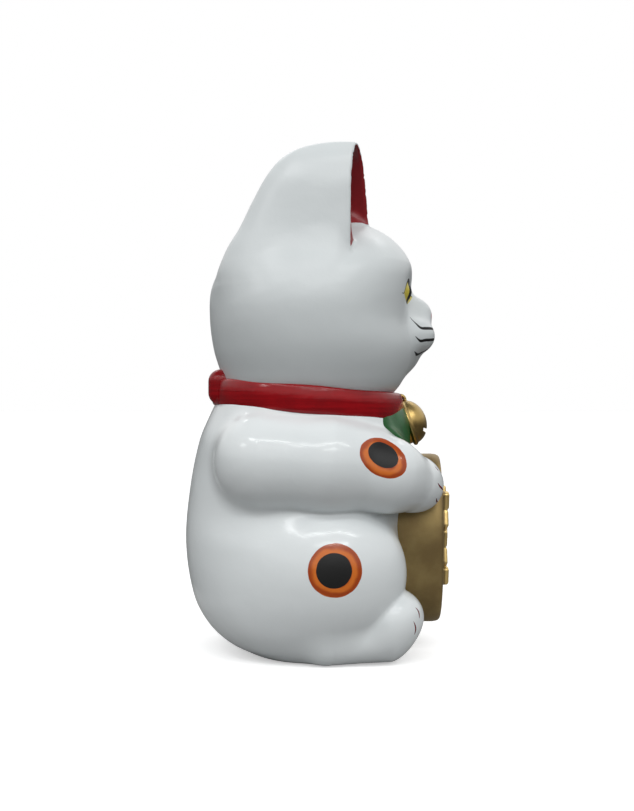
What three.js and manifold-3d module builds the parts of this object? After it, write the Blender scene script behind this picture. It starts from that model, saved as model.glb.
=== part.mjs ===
// A lucky cat: a seated cat with its left paw raised and its right paw on an oval gold coin. It wears a
// collar with a knot behind, a bib and a round bell, all moulded in one hollow casting and then painted.
// Millimetres, +Z up. The cat faces -Y, and its left side is +X. The origin is the middle of the flat base.
import * as THREE from "three";
import { mergeVertices } from "three/addons/utils/BufferGeometryUtils.js";
import Module from "manifold-3d";

const wasm = await Module();
wasm.setup();

// Driving dimensions
const EAR_TIP_Z = 330;
const CROWN_Z = 287;
const EAR = {
  x: 50,
  frontY: -26.9,
  outwardDeg: 17,
  sill: 0.7,
  hollow: { z: 299, leanDeg: 5.5, radii: [15.5, 20, 27.5] },
};
const COLLAR = {
  halfWidth: 71.5,
  frontY: -56.4,
  backY: 69.5,
  lowZ: 158,
  height: 18,
  slopeDeg: 3.7,
  bevel: 2,
};
const KNOT = {
  lobe: { centre: [17, 59, 174], radii: [17, 12, 12.2] },
  tie: { centre: [0, 64, 170.8], radii: [7, 8.8, 8.5] },
};
const BELL = {
  centre: [0, -62, 150.3],
  radius: 15,
  dome: 11.3,
  tiltDeg: -21,
  rim: 1,
  sunk: 12,
  slot: { deg: 47, width: 2.4 },
  loop: { radius: 3, wire: 1.2 },
};
const COIN = {
  halfWidth: 37,
  halfHeight: 56.5,
  centreZ: 73.8,
  backY: -35,
  edgeY: -81,
  frontY: -84.5,
  bevel: 2.5,
};
const STROKES = {
  rows: 5,
  perRow: 3,
  centreZ: 76,
  pitch: { x: 11, z: 12.5 },
  size: { x: 6.5, z: 8.5 },
  leanDeg: 14,
  backY: -80,
  frontY: -88,
};
const TAIL = {
  radius: 12,
  path: [[24, 66, 37], [31, 62.5, 26], [43, 55.5, 17], [61, 41.5, 15], [75, 18, 21]],
};

// Widths of the fillets between the forms
const BROAD = 12;
const SOFT = 8;
const TIGHT = 4;

// The forms run a little below the flat base, which then cuts them.
const UNCUT_BASE_Z = -5;
const FACET = { side: 9.8, front: 8, back: 10.5, face: 8.2, height: 10 };
const SMOOTHING_ROUNDS = 3;
const SKIN = "#e9ebec";

// Signed distances: negative inside, in millimetres
const mix = (a, b, t) => a + (b - a) * t;
const clamp01 = (t) => Math.min(1, Math.max(0, t));

// The union of two solids, with a fillet of about the given width where they meet.
function blend(a, b, width) {
  const overlap = Math.max(width - Math.abs(a - b), 0) / width;
  return Math.min(a, b) - (overlap * overlap * width) / 4;
}

// What is left of solid a when b is carved out of it, with edges eased over the given width.
const carve = (a, b, width) => -blend(-a, b, width);

function ellipsoid([x, y, z], [cx, cy, cz], [rx, ry, rz]) {
  const [dx, dy, dz] = [(x - cx) / rx, (y - cy) / ry, (z - cz) / rz];
  const level = Math.hypot(dx, dy, dz);
  return (level * (level - 1)) / Math.max(Math.hypot(dx / rx, dy / ry, dz / rz), 1e-6);
}

// A round bar from a to b, whose radius runs from ra to rb.
function bar([x, y, z], [ax, ay, az], ra, [bx, by, bz], rb) {
  const [ux, uy, uz] = [bx - ax, by - ay, bz - az];
  const [px, py, pz] = [x - ax, y - ay, z - az];
  const t = clamp01((px * ux + py * uy + pz * uz) / (ux * ux + uy * uy + uz * uz));
  return Math.hypot(px - ux * t, py - uy * t, pz - uz * t) - mix(ra, rb, t);
}

// A limb: bars along a chain of joints, each [centre, radius].
function limb(p, joints, width) {
  let d = Infinity;
  for (let i = 1; i < joints.length; i++) {
    d = blend(d, bar(p, ...joints[i - 1], ...joints[i]), width);
  }
  return d;
}

// A smooth curve through [place, value] pairs that keeps its end values beyond them.
function curveThrough(...pairs) {
  const at = pairs.map((pair) => pair[0]);
  const value = pairs.map((pair) => pair[1]);
  const last = at.length - 1;
  const slope = value.map((_, i) => {
    const [low, high] = [Math.max(i - 1, 0), Math.min(i + 1, last)];
    return (value[high] - value[low]) / (at[high] - at[low]);
  });
  return (place) => {
    if (place <= at[0]) return value[0];
    if (place >= at[last]) return value[last];
    let i = 0;
    while (place > at[i + 1]) i++;
    const span = at[i + 1] - at[i];
    const t = (place - at[i]) / span;
    const rise = (1 - t) * (1 - t);
    return (
      rise * ((1 + 2 * t) * value[i] + t * span * slope[i]) +
      t * t * ((3 - 2 * t) * value[i + 1] + (t - 1) * span * slope[i + 1])
    );
  };
}

// A solid whose level sections are rounded ovals: side, front and back give each section's reach at height
// z. It closes as a dome between the heights of upper, and as a bowl between those of lower.
function loft({ side, front, back, middle = () => 0, roundness, upper, lower }) {
  const level = (x, y, z) => {
    const intoDome = (z - upper[0]) / (upper[1] - upper[0]);
    const intoBowl = (z - lower[0]) / (lower[1] - lower[0]);
    const [centreY, halfY] = [(back(z) + front(z)) / 2, (back(z) - front(z)) / 2];
    const across = Math.abs((x - middle(z)) / side(z)) ** roundness;
    const along = Math.abs((y - centreY) / halfY) ** roundness;
    return Math.hypot((across + along) ** (1 / roundness), Math.max(intoDome, intoBowl, 0)) - 1;
  };
  const step = 0.5;
  return ([x, y, z]) => {
    const here = level(x, y, z);
    const slope = Math.hypot(
      level(x + step, y, z) - level(x - step, y, z),
      level(x, y + step, z) - level(x, y - step, z),
      level(x, y, z + step) - level(x, y, z - step),
    );
    return (here * 2 * step) / Math.max(slope, 1e-6);
  };
}

// The forms of the cat. Those that both sides have are given for its left side.
const torso = loft({
  side: curveThrough(
    [-5, 52], [0, 60], [10, 71], [24, 79], [45, 83],
    [72, 81], [95, 75], [120, 73], [140, 76], [158, 70.5], [172, 62],
  ),
  front: curveThrough(
    [-5, -34], [0, -40], [12, -50], [35, -56],
    [72, -57], [108, -60], [140, -60], [158, -52], [172, -46],
  ),
  back: curveThrough(
    [-5, 33], [0, 43], [8, 60], [20, 73], [38, 82.3],
    [72, 87.6], [108, 85], [140, 78.5], [158, 71], [172, 64],
  ),
  roundness: 2.25,
  upper: [165, 195],
  lower: [-10, -30],
});

const skull = loft({
  side: curveThrough(
    [160, 52], [172, 68], [185, 76.5], [200, 82.5], [215, 85], [230, 85],
    [245, 81.5], [258, 77], [270, 72], [287, 62],
  ),
  front: curveThrough(
    [160, -36], [172, -52], [185, -60], [200, -64], [220, -61], [240, -63], [256, -66],
  ),
  back: curveThrough(
    [160, 50], [172, 60], [185, 64.5], [200, 69], [220, 71.5], [240, 70.5], [268, 60], [287, 48],
  ),
  roundness: 2.35,
  upper: [245, CROWN_Z],
  lower: [165, 140],
});

// An ear before its front is cut off: a broad hood that narrows towards its tip.
const earHood = loft({
  side: curveThrough([240, 31], [262, 27.5], [285, 23], [303, 19], [318, 13.8], [330, 9.5]),
  front: () => -54,
  back: curveThrough(
    [240, 63], [262, 57.5], [277, 49], [292, 41.5], [307, 33.2], [319, 24.5], [330, 20],
  ),
  middle: curveThrough([240, 42], [262, 44.5], [285, 47], [303, 49.5], [318, 51.5], [330, 53]),
  roundness: 2.3,
  upper: [316, EAR_TIP_Z],
  lower: [255, 225],
});

function muzzle(p) {
  const nose = ellipsoid(p, [0, -61.5, 223], [14, 16, 13.5]);
  const lip = ellipsoid(p, [11, -59.5, 209], [18, 19, 14]);
  const chin = ellipsoid(p, [0, -54.5, 195.5], [17, 13.5, 10]);
  return blend(blend(nose, lip, SOFT), chin, TIGHT);
}

const eyeSocket = (p) => ellipsoid(p, [29, -74, 237], [21, 13, 14]);

function haunchAndFoot(p) {
  const haunch = ellipsoid(p, [50, -3, 56], [42, 54, 50]);
  const sole = bar(p, [66, -8, 12], 12, [54, -41, 19.6], 20);
  const toes = ellipsoid(p, [50, -47, 28.5], [24, 21, 18.5]);
  return blend(haunch, blend(sole, toes, SOFT), TIGHT);
}

// The arms are alike from the shoulder to the elbow. The right one lies along the side, and its paw holds
// the edge of the coin. The left one is raised beside the face.
const SHOULDER = [[58, 32, 127], 32.8];

function holdingArm(p) {
  const elbow = [[60, -44, 119], 22.5];
  const wrist = [[45, -60, 113], 19];
  const arm = limb(p, [SHOULDER, [[64, -6, 125], 29.5], elbow, wrist], SOFT);
  const paw = ellipsoid(p, [40, -66, 111.5], [15, 15.5, 16.5]);
  return blend(arm, paw, TIGHT);
}

function beckoningArm(p) {
  const elbow = [[79, -20, 135], 22];
  const wrist = [[83, -35, 205], 16.5];
  const arm = limb(p, [SHOULDER, [[66, 2, 124], 27], elbow, [[84, -33, 172], 18], wrist], SOFT);
  const paw = limb(p, [wrist, [[83, -39, 232], 18], [[83, -46, 236], 17]], SOFT);
  return blend(arm, paw, TIGHT);
}

const bib = (p) => ellipsoid(p, [0, -43, 148], [38, 18, 20]);

function head(x, y, z) {
  const mirrored = [Math.abs(x), y, z];
  return blend(carve(skull([x, y, z]), eyeSocket(mirrored), SOFT), muzzle(mirrored), SOFT);
}

const headWithEars = (x, y, z) => blend(head(x, y, z), earHood([Math.abs(x), y, z]), BROAD);

function body(x, y, z) {
  const arms = blend(holdingArm([-x, y, z]), beckoningArm([x, y, z]), SOFT);
  const trunk = blend(torso([x, y, z]), haunchAndFoot([Math.abs(x), y, z]), SOFT);
  return Math.max(blend(blend(trunk, arms, TIGHT), bib([x, y, z]), TIGHT), UNCUT_BASE_Z - z);
}

// The values of a field at the corners of a grid, whose lines along x, y and z are given.
function sample(field, [xs, ys, zs]) {
  const values = [];
  for (const z of zs) {
    for (const y of ys) {
      for (const x of xs) values.push(field(x, y, z));
    }
  }
  return values;
}

// A grid cell's corners, as steps along x, y and z, and its edges, as pairs of corners
const CELL_CORNERS = [0, 1, 2, 3, 4, 5, 6, 7].map((n) => [n & 1, (n >> 1) & 1, n >> 2]);
const CELL_EDGES = CELL_CORNERS.flatMap((_, n) =>
  [1, 2, 4].filter((bit) => !(n & bit)).map((bit) => [n, n + bit]),
);

// The skin of the solid where a field is negative: one vertex in each cell of a grid that the skin crosses,
// and one face round each edge of the grid that it crosses.
function skinOf(field, lines) {
  const [xs, ys, zs] = lines;
  const strides = [1, xs.length, xs.length * ys.length];
  const values = sample(field, lines);

  const places = [];
  const vertexOf = new Map();
  function addVertex(i, j, k) {
    const cell = i + j * strides[1] + k * strides[2];
    const corners = CELL_CORNERS.map(([di, dj, dk]) => ({
      place: new THREE.Vector3(xs[i + di], ys[j + dj], zs[k + dk]),
      value: values[cell + di + dj * strides[1] + dk * strides[2]],
    }));
    const crossings = CELL_EDGES
      .map(([a, b]) => [corners[a], corners[b]])
      .filter(([from, to]) => from.value < 0 !== to.value < 0)
      .map(([from, to]) => from.place.clone().lerp(to.place, from.value / (from.value - to.value)));
    if (!crossings.length) return;
    const mean = crossings.reduce((sum, place) => sum.add(place)).divideScalar(crossings.length);
    vertexOf.set(cell, places.length);
    places.push(ontoSurface(field, mean, xs[i + 1] - xs[i]));
  }
  for (let k = 0; k < zs.length - 1; k++) {
    for (let j = 0; j < ys.length - 1; j++) {
      for (let i = 0; i < xs.length - 1; i++) addVertex(i, j, k);
    }
  }

  const triangles = [];
  for (const cell of vertexOf.keys()) {
    for (let axis = 0; axis < 3; axis++) {
      const [from, to] = [values[cell], values[cell + strides[axis]]];
      if (from < 0 === to < 0) continue;
      const [u, v] = [strides[(axis + 1) % 3], strides[(axis + 2) % 3]];
      const ring = [cell, cell - u, cell - u - v, cell - v].map((neighbour) => vertexOf.get(neighbour));
      if (to < 0) ring.reverse();
      const [a, b, c, d] = ring;
      const shortAcross = places[a].distanceTo(places[c]) < places[b].distanceTo(places[d]);
      triangles.push(...(shortAcross ? [a, b, c, a, c, d] : [a, b, d, b, c, d]));
    }
  }
  for (let round = 0; round < SMOOTHING_ROUNDS; round++) relax(field, places, triangles);
  return { places, triangles };
}

// Evens out the skin: each vertex moves towards the mean of its neighbours, and back onto the surface.
function relax(field, places, triangles) {
  const sums = places.map(() => new THREE.Vector3());
  const counts = places.map(() => 0);
  for (let i = 0; i < triangles.length; i++) {
    const next = i % 3 === 2 ? i - 2 : i + 1;
    sums[triangles[i]].add(places[triangles[next]]);
    counts[triangles[i]]++;
  }
  places.forEach((place, i) => {
    const mean = sums[i].divideScalar(counts[i]);
    const reach = place.distanceTo(mean) + 1;
    place.copy(ontoSurface(field, place.clone().lerp(mean, 0.6), reach));
  });
}

// Moves a point onto the surface of a solid along its slope, within the given reach.
function ontoSurface(field, point, reach) {
  const start = point.clone();
  const step = 0.25;
  for (let n = 0; n < 4; n++) {
    const { x, y, z } = point;
    const slope = new THREE.Vector3(
      field(x + step, y, z) - field(x - step, y, z),
      field(x, y + step, z) - field(x, y - step, z),
      field(x, y, z + step) - field(x, y, z - step),
    ).divideScalar(2 * step);
    point.addScaledVector(slope, -field(x, y, z) / Math.max(slope.lengthSq(), 0.2));
    point.sub(start).clampLength(0, reach * 0.45).add(start);
  }
  return point;
}

// The lines of a grid along one axis, as far apart as step says at each place.
function gridLine(from, to, step) {
  const line = [from];
  while (line.at(-1) < to) line.push(line.at(-1) + step(line.at(-1)));
  return line;
}

function solidFrom(vertProperties, triVerts) {
  return new wasm.Manifold(new wasm.Mesh({ numProp: 3, vertProperties, triVerts }));
}

function solidOf(geometry) {
  const bare = geometry.clone();
  bare.deleteAttribute("normal");
  bare.deleteAttribute("uv");
  const merged = mergeVertices(bare, 1e-3);
  return solidFrom(merged.attributes.position.array, new Uint32Array(merged.index.array));
}

const GRID = [
  gridLine(-107.8, 107, () => FACET.side),
  gridLine(-90, 104, (y) => (y < -40 ? FACET.front : FACET.back)),
  gridLine(-8, 340, (z) => (z > 184 && z < 248 ? FACET.face : FACET.height)),
];

function moulded(field) {
  const { places, triangles } = skinOf(field, GRID);
  const coordinates = places.flatMap((place) => place.toArray());
  return solidFrom(new Float32Array(coordinates), new Uint32Array(triangles));
}

function ball(centre, radii) {
  return solidOf(new THREE.SphereGeometry(1, 12, 8).scale(...radii).translate(...centre));
}

// What the open front of the ear on one side removes: all that lies ahead of a plane that looks forward
// and a little outward, down to the head, and a hollow behind that plane.
function earOpening(side, headSolid) {
  const { x, frontY, outwardDeg, hollow } = EAR;
  const turn = THREE.MathUtils.degToRad(side * outwardDeg);
  const lean = THREE.MathUtils.degToRad(side * hollow.leanDeg);
  const place = (shape) => solidOf(shape.rotateZ(turn).translate(side * x, frontY, hollow.z));
  const bowl = place(new THREE.SphereGeometry(1, 16, 12).scale(...hollow.radii).rotateY(lean));
  const ahead = place(new THREE.BoxGeometry(80, 60, 130).translate(0, -30, -20));
  return ahead.subtract(headSolid).add(bowl);
}

// The coin's outline is an oval, and its face swells a little towards the middle.
function coin() {
  const { halfWidth, halfHeight, centreZ, backY, edgeY, frontY, bevel } = COIN;
  const profile = [
    [0, backY],
    [halfWidth, backY],
    [halfWidth, edgeY + bevel],
    [halfWidth - bevel, edgeY],
    [halfWidth - 1.6 * bevel, edgeY],
    [halfWidth / 2, mix(edgeY, frontY, 0.72)],
    [0, frontY],
  ];
  const points = profile.map(([radius, y]) => new THREE.Vector2(radius, -y));
  const disc = new THREE.LatheGeometry(points, 30).rotateX(Math.PI);
  return solidOf(disc.scale(1, 1, halfHeight / halfWidth).translate(0, 0, centreZ));
}

// The inscription's place: rows of plain raised strokes that lean by turns.
function strokes() {
  const { rows, perRow, centreZ, pitch, size, leanDeg, backY, frontY } = STROKES;
  const made = [];
  for (let row = 0; row < rows; row++) {
    for (let n = 0; n < perRow; n++) {
      const lean = THREE.MathUtils.degToRad((row + n) % 2 ? leanDeg : -leanDeg);
      const x = (n - (perRow - 1) / 2) * pitch.x;
      const z = centreZ + ((rows - 1) / 2 - row) * pitch.z;
      const stroke = new THREE.BoxGeometry(size.x, backY - frontY, size.z).rotateY(lean);
      made.push(solidOf(stroke.translate(x, (backY + frontY) / 2, z)));
    }
  }
  return made;
}

// A round bell that looks forward and up, with a rim round its middle and a slot across its lower half. Its
// back is sunk in the bib.
function bell() {
  const { centre, radius, dome, tiltDeg, rim, sunk, slot, loop } = BELL;
  const tilt = THREE.MathUtils.degToRad(tiltDeg);
  const place = (shape) => solidOf(shape.rotateX(tilt).translate(...centre));
  const behind = [
    [0, -sunk],
    [radius - rim, -sunk],
    [radius - rim, -rim],
    [radius + rim, -rim],
    [radius + rim, 0],
  ];
  const arc = [0, 18, 36, 54, 72].map((deg) => {
    const angle = THREE.MathUtils.degToRad(deg);
    return [radius * Math.cos(angle), dome * Math.sin(angle) + rim / 2];
  });
  const profile = [...behind, ...arc, [0, dome]].map((point) => new THREE.Vector2(...point));
  const shell = new THREE.LatheGeometry(profile, 18).rotateX(Math.PI);
  const cut = new THREE.BoxGeometry(1.3 * radius, 9, slot.width)
    .translate(0, -radius, 0)
    .rotateX(THREE.MathUtils.degToRad(slot.deg));
  const ring = new THREE.TorusGeometry(loop.radius, loop.wire, 5, 8).rotateY(Math.PI / 2);
  return place(shell).subtract(place(cut)).add(place(ring.translate(0, 0, radius + rim)));
}

function collar() {
  const { halfWidth, frontY, backY, lowZ, height, slopeDeg, bevel } = COLLAR;
  const edges = { bevelSize: bevel, bevelThickness: bevel, bevelOffset: -bevel, bevelSegments: 2 };
  const shape = new THREE.Shape().absellipse(0, 0, halfWidth, (backY - frontY) / 2, 0, 2 * Math.PI);
  const depth = height - 2 * bevel;
  const band = new THREE.ExtrudeGeometry(shape, { ...edges, depth, curveSegments: 20 });
  const slope = THREE.MathUtils.degToRad(slopeDeg);
  return solidOf(band.translate(0, 0, bevel).rotateX(slope).translate(0, (backY + frontY) / 2, lowZ));
}

function tail() {
  const { radius, path } = TAIL;
  const curve = new THREE.CatmullRomCurve3(path.map((point) => new THREE.Vector3(...point)));
  const round = new THREE.Shape().absellipse(0, 0, radius, radius, 0, 2 * Math.PI);
  const length = new THREE.ExtrudeGeometry(round, { steps: 10, curveSegments: 5, extrudePath: curve });
  const ends = [path[0], path.at(-1)].map((end) => ball(end, [radius, radius, radius]));
  return solidOf(length).add(ends[0]).add(ends[1]);
}

// The collar's knot behind: a tie between two flat lobes.
function knot() {
  const { lobe, tie } = KNOT;
  const [x, y, z] = lobe.centre;
  const lobes = [-x, x].map((side) => ball([side, y, z], lobe.radii));
  return lobes[0].add(lobes[1]).add(ball(tie.centre, tie.radii));
}

// Everything below the flat base.
function underground() {
  const size = 400;
  return solidOf(new THREE.BoxGeometry(size, size, size).translate(0, 0, -size / 2));
}

function geometryOf(solid) {
  const { vertProperties, triVerts } = solid.getMesh();
  return new THREE.BufferGeometry()
    .setAttribute("position", new THREE.BufferAttribute(vertProperties, 3))
    .setIndex(new THREE.BufferAttribute(triVerts, 1));
}

const aboveHead = moulded((x, y, z) => head(x, y, z) - EAR.sill);
const carvedHead = [-1, 1].reduce(
  (solid, side) => solid.subtract(earOpening(side, aboveHead)),
  moulded(headWithEars),
);
const carvedBody = moulded(body).add(tail()).subtract(underground());
const trimmings = [collar(), knot(), coin(), ...strokes(), bell()];
const casting = trimmings.reduce((solid, form) => solid.add(form), carvedHead.add(carvedBody));

const geometry = geometryOf(casting);
geometry.computeVertexNormals();
const material = new THREE.MeshStandardMaterial({ color: SKIN, roughness: 0.3, metalness: 0 });
const figure = new THREE.Mesh(geometry, material);
figure.name = "lucky_cat";

const part = new THREE.Group();
part.add(figure);
export default part;
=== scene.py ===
"""A lucky cat: a seated white cat with its left paw raised and its right paw on an oval gold coin.

Each form is a signed distance in millimetres, a function of a place (x, y, z) that is negative inside. A
piece's surface is meshed where its distance is zero, and its paint follows distances kept at its vertices.
The cat faces -Y, its left side is +X, and it stands on z = 0.
"""

import math

import bpy
import numpy as np
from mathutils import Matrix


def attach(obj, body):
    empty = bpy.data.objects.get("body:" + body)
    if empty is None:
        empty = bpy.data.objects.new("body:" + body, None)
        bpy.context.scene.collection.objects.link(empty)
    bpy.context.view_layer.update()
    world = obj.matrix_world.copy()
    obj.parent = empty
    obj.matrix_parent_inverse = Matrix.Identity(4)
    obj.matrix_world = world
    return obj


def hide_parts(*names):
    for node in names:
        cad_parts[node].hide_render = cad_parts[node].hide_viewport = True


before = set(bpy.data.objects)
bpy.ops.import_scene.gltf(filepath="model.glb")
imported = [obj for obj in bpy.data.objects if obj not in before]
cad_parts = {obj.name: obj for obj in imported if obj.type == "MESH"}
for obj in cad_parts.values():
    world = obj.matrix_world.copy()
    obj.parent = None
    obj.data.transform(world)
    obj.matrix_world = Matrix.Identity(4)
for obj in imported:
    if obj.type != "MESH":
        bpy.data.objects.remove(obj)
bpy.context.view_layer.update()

MM = 0.001

# The photograph's view: level, from the cat's right side
IMAGE_WIDTH, IMAGE_HEIGHT = 634, 811
FOCAL_PIXELS = 1285
CAMERA_PLACE = np.array([-868.0, 0.0, 162.7])

# Mesh sizes, and how a grid is thinned out far from the surface
HEAD_CELL = 1.3
BODY_CELL = 1.45
TRIM_CELL = 1.15
BELL_CELL = 0.6
COIN_CELL = 0.9
THINNING = 4
NEAR_SURFACE = 2.5
GRADIENT_STEP = 0.4

# How gently a dome starts, and how far from its line a brush stroke can reach
DOME_POWER = 2.6
STROKE_REACH = 2.2

# Rays onto the skin: how far from the camera they start, or where in front of the cat, and their steps
RAY_START = 700
FRONT_RAY_START_Y = -130.0
RAY_STEPS = 80

# Widths of the fillets between forms
BROAD = 12
SOFT = 8
TIGHT = 4
EDGE = 2

EAR_TIP_Z = 330
CROWN_Z = 287
EAR = {"x": 50, "front_y": -26.9, "outward": math.radians(17), "rim": 2.3}
EYE = {"x": 27, "corner_z": 235, "half_width": 16.5, "above": 10, "below": 6}
PUPIL = {"x": 28.5, "z": 235.5, "radii": (6.4, 12.5)}
NOSE_TIP = {"z": 222.5, "radii": (4.6, 3.2)}
COLLAR = {
    "half_width": 71.5, "front_y": -56.4, "back_y": 69.5, "low_z": 157.4, "height": 18.6, "slope": 4.7,
    "swell": 2, "depth": 16,
}
BIB = {
    "centre_z": 144, "half_width": 52, "drop": 23.6, "low_z": 126, "flare": 0.27, "point": 5,
    "thickness": 1.8,
}
BELL = {"centre": (0, -62, 151.5), "radius": 15, "dome": 11.3, "tilt": -21, "rim": 1}
COIN = {
    "half_width": 37, "half_height": 56.5, "centre_z": 73.8,
    "back_y": -35, "edge_y": -81, "front_y": -84.5, "painted_highlight_y": -85.2,
}
STROKES = {
    "rows": 5, "per_row": 3, "centre_z": 76, "pitch": (11, 12.5), "stagger": 1.6, "lean": 17,
    "half_sizes": (3.2, 4, 6), "rounding": 1.8, "middle_y": -83.4, "unevenness": 0.7,
}
TAIL = {"radius": 12, "path": ((24, 66, 37), (31, 62.5, 26), (43, 55.5, 17), (61, 41.5, 15), (75, 18, 21))}


# Signed distances
def mix(a, b, t):
    return a + (b - a) * t


def smooth_step(low, high, value):
    t = np.clip((value - low) / (high - low), 0, 1)
    return t * t * (3 - 2 * t)


def blend(a, b, width):
    """The union of two solids, with a fillet of about the given width where they meet."""
    overlap = np.maximum(width - np.abs(a - b), 0) / width
    return np.minimum(a, b) - overlap * overlap * width / 4


def overlap_of(a, b, width):
    """What two solids share, with its edges eased over the given width."""
    return -blend(-a, -b, width)


def carve(a, b, width):
    """What is left of solid a when b is carved out of it."""
    return -blend(-a, b, width)


def ellipsoid(place, centre, radii):
    offsets = [(value - middle) / radius for value, middle, radius in zip(place, centre, radii)]
    level = np.sqrt(sum(offset * offset for offset in offsets))
    slope = np.sqrt(sum((offset / radius) ** 2 for offset, radius in zip(offsets, radii)))
    return level * (level - 1) / np.maximum(slope, 1e-6)


def oval(across, over, radii):
    """An ellipse round the origin of a plane."""
    return ellipsoid((across, over), (0, 0), radii)


def bar(place, a, radius_a, b, radius_b):
    """A round bar from a to b."""
    span = [end - start for start, end in zip(a, b)]
    offset = [value - start for value, start in zip(place, a)]
    t = sum(u * v for u, v in zip(offset, span)) / sum(u * u for u in span)
    t = np.clip(t, 0, 1)
    reach = np.sqrt(sum((u - v * t) ** 2 for u, v in zip(offset, span)))
    return reach - mix(radius_a, radius_b, t)


def limb(place, joints, width):
    """Bars along a chain of joints, each (centre, radius)."""
    distance = bar(place, *joints[0], *joints[1])
    for start, end in zip(joints[1:], joints[2:]):
        distance = blend(distance, bar(place, *start, *end), width)
    return distance


def box(place, centre, half_sizes, rounding):
    offsets = [
        np.abs(value - middle) - half + rounding
        for value, middle, half in zip(place, centre, half_sizes)
    ]
    outside = np.sqrt(sum(np.maximum(offset, 0) ** 2 for offset in offsets))
    inside = np.minimum(np.maximum(np.maximum(*offsets[:2]), offsets[2]), 0)
    return outside + inside - rounding


def curve_through(*pairs):
    """A smooth curve through (place, value) pairs that keeps its end values beyond them."""
    at, value = (np.array(column, float) for column in zip(*pairs))
    slope = np.gradient(value) / np.gradient(at)

    def curve(place):
        place = np.clip(place, at[0], at[-1])
        i = np.clip(np.searchsorted(at, place, side="right") - 1, 0, len(at) - 2)
        span = at[i + 1] - at[i]
        t = (place - at[i]) / span
        start = (1 - t) ** 2 * ((1 + 2 * t) * value[i] + t * span * slope[i])
        end = t * t * ((3 - 2 * t) * value[i + 1] + (t - 1) * span * slope[i + 1])
        return start + end

    return curve


def loft(side, front, back, middle, roundness, upper, lower):
    """A solid whose level sections are rounded ovals: side, front and back give each section's reach at a
    height. It closes as a dome between the heights of upper, and as a bowl between those of lower."""

    def section(z):
        low, high = front(z), back(z)
        rise = np.maximum((z - upper[0]) / (upper[1] - upper[0]), (z - lower[0]) / (lower[1] - lower[0]))
        return side(z), middle(z), (low + high) / 2, (high - low) / 2, np.maximum(rise, 0)

    def level(x, y, cut):
        half_x, middle_x, middle_y, half_y, rise = cut
        across = np.abs((x - middle_x) / half_x) ** roundness
        along = np.abs((y - middle_y) / half_y) ** roundness
        return np.sqrt((across + along) ** (2 / roundness) + rise**DOME_POWER) - 1

    def distance(place):
        x, y, z = place
        step = GRADIENT_STEP
        cut, above, below = section(z), section(z + step), section(z - step)
        slope_x = level(x + step, y, cut) - level(x - step, y, cut)
        slope_y = level(x, y + step, cut) - level(x, y - step, cut)
        slope_z = level(x, y, above) - level(x, y, below)
        slope = np.sqrt(slope_x**2 + slope_y**2 + slope_z**2)
        return level(x, y, cut) * 2 * step / np.maximum(slope, 1e-6)

    return distance


def mirrored(place):
    return np.abs(place[0]), place[1], place[2]


def from_right(place):
    return -place[0], place[1], place[2]


# The forms of the cat. Those that both sides have are given for its left side.
torso = loft(
    side=curve_through(
        (-5, 52), (0, 60), (10, 71), (24, 79), (45, 83),
        (72, 81), (95, 75), (120, 73), (140, 76), (158, 70.5), (172, 62),
    ),
    front=curve_through(
        (-5, -34), (0, -40), (12, -50), (35, -56),
        (72, -57), (108, -60), (140, -60), (158, -52), (172, -46),
    ),
    back=curve_through(
        (-5, 33), (0, 43), (8, 60), (20, 73), (38, 82.3),
        (72, 87.6), (108, 85), (140, 78.5), (158, 71), (172, 64),
    ),
    middle=lambda z: 0,
    roundness=2.25,
    upper=(165, 195),
    lower=(-10, -30),
)

skull = loft(
    side=curve_through(
        (160, 52), (172, 68), (185, 76.5), (200, 82.5), (215, 85), (230, 85),
        (245, 81.5), (258, 77), (270, 72), (287, 62),
    ),
    front=curve_through(
        (160, -36), (172, -52), (185, -60), (200, -64), (220, -61), (240, -63), (256, -66),
    ),
    back=curve_through(
        (160, 50), (172, 60), (185, 64.5), (200, 69), (220, 71.5), (240, 70.5), (268, 60), (287, 48),
    ),
    middle=lambda z: 0,
    roundness=2.35,
    upper=(236, CROWN_Z),
    lower=(165, 140),
)

# An ear before its front is cut off: a broad hood that narrows towards its tip
ear_hood = loft(
    side=curve_through((240, 31), (262, 27.5), (285, 23), (303, 19), (318, 13.8), (330, 9.5)),
    front=lambda z: -54,
    back=curve_through(
        (240, 63), (262, 57.5), (277, 49), (292, 41.5), (307, 33.2), (319, 24.5), (330, 20),
    ),
    middle=curve_through((240, 42), (262, 44.5), (285, 47), (303, 49.5), (318, 51.5), (330, 53)),
    roundness=2.3,
    upper=(313, EAR_TIP_Z),
    lower=(255, 225),
)


def behind_ear_front(place):
    """How far a place lies behind the plane of the left ear's open front."""
    x, y, _ = place
    return (y - EAR["front_y"]) * math.cos(EAR["outward"]) - (x - EAR["x"]) * math.sin(EAR["outward"])


def ear(place):
    hood = ear_hood(place)
    behind = behind_ear_front(place)
    bowl = ellipsoid(place, (EAR["x"], EAR["front_y"] - 2, 296), (23, 20, 36))
    hollow = overlap_of(bowl, hood + EAR["rim"] + 0.12 * np.maximum(behind, 0), EDGE)
    return carve(carve(hood, behind, EDGE), hollow, EDGE)


def muzzle(place):
    nose = ellipsoid(place, (0, -61.5, 223), (14, 16, 13.5))
    lip = ellipsoid(place, (11, -59.5, 209), (18, 19, 14))
    chin = ellipsoid(place, (0, -54.5, 195.5), (17, 13.5, 10))
    return blend(blend(nose, lip, SOFT), chin, SOFT)


def head_without_ears(place):
    left = mirrored(place)
    face = carve(skull(place), ellipsoid(left, (29, -74, 237), (21, 13, 14)), SOFT)
    face = blend(face, muzzle(left), SOFT)
    return blend(face, ellipsoid(left, (EYE["x"], -49, 237), (14.5, 13, 9.5)), EDGE)


def head(place):
    left = mirrored(place)
    fillet = mix(EDGE, BROAD, smooth_step(-2, 9, behind_ear_front(left)))
    return blend(head_without_ears(place), ear(left), fillet)


SHOULDER = ((58, 32, 127), 32.8)


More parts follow.
